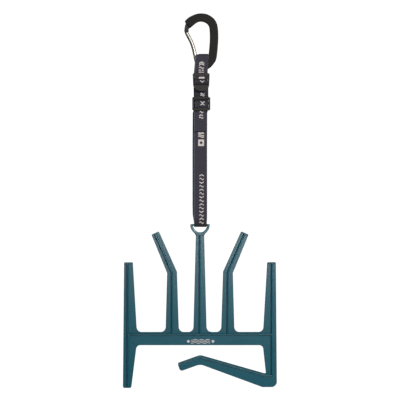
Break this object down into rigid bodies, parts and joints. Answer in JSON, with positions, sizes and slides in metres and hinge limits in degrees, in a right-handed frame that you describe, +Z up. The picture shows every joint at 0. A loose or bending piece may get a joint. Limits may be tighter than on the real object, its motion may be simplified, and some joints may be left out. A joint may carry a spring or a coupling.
{
  "type": "wetsuit hanger",
  "caption": "Flat moulded hanger with upright prongs and a low suit bar, hung by an adjustable webbing sling from a sprung carabiner.",
  "frame": {"origin": "inside top of the carabiner, where the hanger hangs from a hook or rail", "axes": "+Z up, -Y toward the front face that carries the buckles, +X to the right seen from the front"},
  "size_m": [0.2923, 0.0212, 0.7109],
  "materials": {
    "black_aluminium": "matte black coated aluminium",
    "polished_steel": "polished stainless steel",
    "spring_steel": "drawn spring wire",
    "webbing": "woven polyester webbing, dark slate",
    "black_plastic": "moulded acetal, black",
    "teal_plastic": "moulded polypropylene, dark teal, satin"
  },
  "bodies": {
    "carabiner": {"carabiner_body": "black_aluminium", "gate_rivet": "polished_steel", "webbing_basket_loop": "webbing"},
    "gate": {"gate_bar": "polished_steel", "gate_head": "black_plastic", "gate_spring": "spring_steel", "gate_plunger": "spring_steel"},
    "sling": {"webbing_lock_loop": "webbing", "webbing_front_run": "webbing", "webbing_back_run": "webbing", "webbing_tail": "webbing"},
    "lock": {"ladder_lock": "black_plastic", "webbing_lock_fold": "webbing"},
    "keeper": {"strap_keeper": "black_plastic"},
    "lower_sling": {"webbing_lower_loop": "webbing"},
    "hanger": {"hanger_body": "teal_plastic"}
  },
  "joints": [
    {"name": "gate_open", "type": "hinge", "parent": "carabiner", "child": "gate", "pos_m": [-0.0086, 0, -0.07], "axis": [0, 1, 0], "range_deg": [0, 20], "stiffness_Nm_per_rad": 0.4, "springref_deg": -22.92},
    {"name": "sling_bend", "type": "hinge", "parent": "carabiner", "child": "sling", "pos_m": [0.0022, 0, -0.0973], "axis": [1, 0, 0], "range_deg": [-30, 30]},
    {"name": "lock_tilt", "type": "hinge", "parent": "sling", "child": "lock", "pos_m": [0.0022, -0.0094, -0.1086], "axis": [-1, 0, 0], "range_deg": [0, 20]},
    {"name": "keeper_slide", "type": "slide", "parent": "sling", "child": "keeper", "axis": [0, 0, 1], "range_m": [-0.035, 0.008]},
    {"name": "sling_twist", "type": "hinge", "parent": "sling", "child": "lower_sling", "pos_m": [0.001, 0, -0.3], "axis": [0, 0, 1], "range_deg": [-90, 90], "stiffness_Nm_per_rad": 0.01},
    {"name": "hanger_swing", "type": "hinge", "parent": "lower_sling", "child": "hanger", "pos_m": [0, 0, -0.3868], "axis": [1, 0, 0], "range_deg": [-90, 90]}
  ]
}
